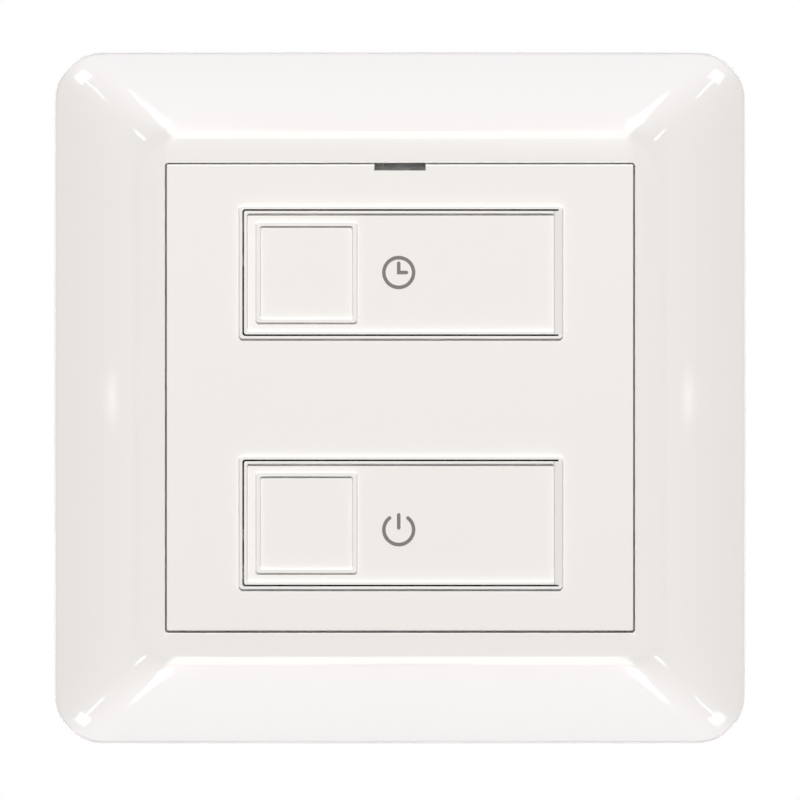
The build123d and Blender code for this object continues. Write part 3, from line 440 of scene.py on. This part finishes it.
def smooth_ramp(tree, value, low, high, start=0.0, end=1.0):
    """Carries the value's range from low to high over to start to end, with soft ends."""
    node = tree.nodes.new("ShaderNodeMapRange")
    node.interpolation_type = "SMOOTHSTEP"
    for name, number in (("From Min", low), ("From Max", high), ("To Min", start), ("To Max", end)):
        node.inputs[name].default_value = number
    tree.links.new(value, node.inputs["Value"])
    return node.outputs["Result"]


def blend(tree, factor, first, second):
    """A number between two, each a number or an output."""
    node = tree.nodes.new("ShaderNodeMix")
    for name, number in (("Factor", factor), ("A", first), ("B", second)):
        if isinstance(number, float):
            node.inputs[name].default_value = number
        else:
            tree.links.new(number, node.inputs[name])
    return node.outputs["Result"]


def maths(tree, operation, first, second):
    """A number worked out of two, each a number or an output."""
    node = tree.nodes.new("ShaderNodeMath")
    node.operation = operation
    for socket, number in zip(node.inputs, (first, second)):
        if isinstance(number, float):
            socket.default_value = number
        else:
            tree.links.new(number, socket)
    return node.outputs["Value"]


def light(name, place, across, away, size, radiance, soft, receivers, taper=1.0):
    """A soft-edged area light at a place. Its width runs across and its height away from the camera's
    line. The taper is its width at the end nearest that line, as a share of the width at the far end."""
    data = bpy.data.lights.new(name, "AREA")
    data.shape = "RECTANGLE"
    data.size, data.size_y = size
    data.energy = radiance * math.pi * data.size * data.size_y
    data.use_nodes = True
    tree = data.node_tree
    split = tree.nodes.new("ShaderNodeSeparateXYZ")
    tree.links.new(tree.nodes.new("ShaderNodeTexCoord").outputs["UV"], split.inputs["Vector"])
    width = blend(tree, split.outputs["Y"], taper, 1.0)
    sideways = maths(tree, "SUBTRACT", split.outputs["X"], 0.5)
    sideways = maths(tree, "ADD", maths(tree, "DIVIDE", sideways, width), 0.5)
    fade = 1.0
    for place_in_box, edge_width in zip((sideways, split.outputs["Y"]), soft):
        for near, far in ((0.0, edge_width), (1.0, 1.0 - edge_width)):
            edge = smooth_ramp(tree, place_in_box, near, far)
            fade = blend(tree, edge, 0.0, fade)
    tree.links.new(fade, tree.nodes["Emission"].inputs["Strength"])
    made = bpy.data.objects.new(name, data)
    turn = Matrix((across, away, across.cross(away))).transposed()
    made.matrix_world = Matrix.Translation(place) @ turn.to_4x4()
    made.visible_camera = False
    made.light_linking.receiver_collection = receivers
    bpy.context.scene.collection.objects.link(made)
    return made


def softbox(name, polar, azimuth, width, height, radiance, soft, receivers, taper=1.0):
    """A far light at these angles from the panel, in degrees."""
    p = math.radians(polar)
    a = math.radians(azimuth)
    outward = Vector((math.sin(p) * math.cos(a), -math.cos(p), math.sin(p) * math.sin(a)))
    away = Vector((math.cos(p) * math.cos(a), math.sin(p), math.cos(p) * math.sin(a)))
    across = away.cross(outward)
    size = [2 * LIGHT_DISTANCE * math.tan(math.radians(angle / 2)) for angle in (width, height)]
    place = outward * LIGHT_DISTANCE
    return light(name, place, across, away, size, radiance, soft, receivers, taper)


def glow_box(side, receivers):
    """A small light close to one side of the cover frame, -1 for the left and 1 for the right."""
    p = math.radians(GLOW_POLAR)
    outward = Vector((side * math.sin(p), -math.cos(p), 0))
    away = Vector((side * math.cos(p), math.sin(p), 0))
    place = Vector((side * GLOW_AIM_X, GLOW_AIM_Y, 0)) + outward * GLOW_DISTANCE
    across = away.cross(outward)
    return light("glow_box", place, across, away, GLOW_SIZE, GLOW_RADIANCE, GLOW_SOFT, receivers)


def highlights(receivers, rim):
    """Lights that only the gloss shows: strips along the crest, streaks in the corners, a glow
    half-way down each side, and a box behind each side of the cover frame for its outer edge."""
    boxes = []
    for up, near, far, end_soft in CREST_STRIPS:
        boxes.append(softbox(
            "crest_box", polar=(near + far) / 2, azimuth=up, width=CREST_WIDTH, height=far - near,
            radiance=CREST_RADIANCE, soft=(CREST_SIDE_SOFT, end_soft), receivers=receivers,
            taper=CREST_TAPER))
        for side in (-1, 1):
            for name, turn, shape in CORNER_BOXES:
                boxes.append(softbox(name, azimuth=up + turn * side, receivers=receivers, **shape))
    for side in (-1, 1):
        boxes.append(glow_box(side, receivers))
    for azimuth in (0, 90, 180, 270):
        boxes.append(softbox("edge_box", azimuth=azimuth, receivers=rim, **EDGE_BOX))
    for box in boxes:
        box.visible_diffuse = False


def lights(outside, inside, rim):
    """Soft light from the front and both sides for the cover frame and what is behind it, and one
    box from above for what lies in it. The fills give no gloss."""
    highlights(outside, rim)
    fills = [softbox("front_fill", receivers=outside, **FRONT_FILL)]
    for azimuth in (0, 180):
        fills.append(softbox("side_fill", azimuth=azimuth, receivers=outside, **SIDE_FILL))
    fills.append(softbox("top_box", receivers=inside, **TOP_BOX))
    for box in fills:
        box.visible_glossy = False


def world():
    """A white surround for the camera. It lights the panel dimly in front and more from behind, and
    the gloss mirrors a bright band above and below in it."""
    made = bpy.data.worlds.new("studio")
    bpy.context.scene.world = made
    made.use_nodes = True
    tree = made.node_tree
    background = tree.nodes["Background"]
    split = tree.nodes.new("ShaderNodeSeparateXYZ")
    tree.links.new(tree.nodes.new("ShaderNodeTexCoord").outputs["Generated"], split.inputs["Vector"])
    depth = split.outputs["Y"]
    height = maths(tree, "ABSOLUTE", split.outputs["Z"], 0.0)
    glow = smooth_ramp(tree, depth, *GLOW_DEPTHS, FRONT_GLOW, BACK_GLOW)
    sky = smooth_ramp(tree, height, *SKY_HEIGHTS, SIDE_SHEEN, SKY_SHEEN)
    sheen = blend(tree, smooth_ramp(tree, depth, *FRONT_SHEEN_DEPTHS), FRONT_SHEEN, sky)
    sheen = blend(tree, smooth_ramp(tree, depth, *BACK_SHEEN_DEPTHS), sheen, BACK_SHEEN)
    path = tree.nodes.new("ShaderNodeLightPath")
    tint = tree.nodes.new("ShaderNodeMix")
    tint.data_type = "RGBA"
    ends = [socket for socket in tint.inputs if socket.type == "RGBA"]
    for socket, colour in zip(ends, (WHITE, SKY_TINT)):
        socket.default_value = colour
    tree.links.new(path.outputs["Is Glossy Ray"], tint.inputs["Factor"])
    tinted = [socket for socket in tint.outputs if socket.type == "RGBA"][0]
    tree.links.new(tinted, background.inputs["Color"])
    seen = blend(tree, path.outputs["Is Glossy Ray"], glow, sheen)
    strength = blend(tree, path.outputs["Is Camera Ray"], seen, 1.0)
    tree.links.new(strength, background.inputs["Strength"])


def floor():
    """A pale floor that neither lights the panel nor shows in its gloss."""
    half = FLOOR_SIDE / 2
    low = CAD_BOX[0].z - FLOOR_DROP
    mesh = bpy.data.meshes.new("floor")
    corners = [(-half, -half, low), (half, -half, low), (half, half, low), (-half, half, low)]
    mesh.from_pydata(corners, [], [(0, 1, 2, 3)])
    made = bpy.data.objects.new("floor", mesh)
    bpy.context.scene.collection.objects.link(made)
    skin = Skin("pale_floor")
    skin.colour(skin.noise(0.6, 2), (0.83, 0.83, 0.82), (0.86, 0.86, 0.85))
    skin.shader.inputs["Roughness"].default_value = 0.7
    mesh.materials.append(skin.material)
    made.visible_diffuse = False
    made.visible_glossy = False


def camera():
    data = bpy.data.cameras.new("camera")
    data.sensor_width = SENSOR_WIDTH
    data.lens = SENSOR_WIDTH * CAMERA_DISTANCE / VIEW_WIDTH
    data.clip_end = CAMERA_REACH
    made = bpy.data.objects.new("camera", data)
    made.location = (0, -CAMERA_DISTANCE, VIEW_CENTRE_Z)
    made.rotation_euler = (math.radians(90), 0, 0)
    bpy.context.scene.collection.objects.link(made)
    bpy.context.scene.camera = made


def main():
    camera()
    dress(finishes())
    printed = signs()
    inside = bpy.data.collections.new("lit_from_above")
    outside = bpy.data.collections.new("lit_all_round")
    for name, obj in frame["nodes"].items():
        (inside if name in INSIDE else outside).objects.link(obj)
    for obj in printed:
        inside.objects.link(obj)
    rim = bpy.data.collections.new("lit_at_the_edge")
    rim.objects.link(frame["nodes"]["cover_frame"])
    lights(outside, inside, rim)
    world()
    floor()
    bpy.context.scene.view_settings.view_transform = "Standard"


main()
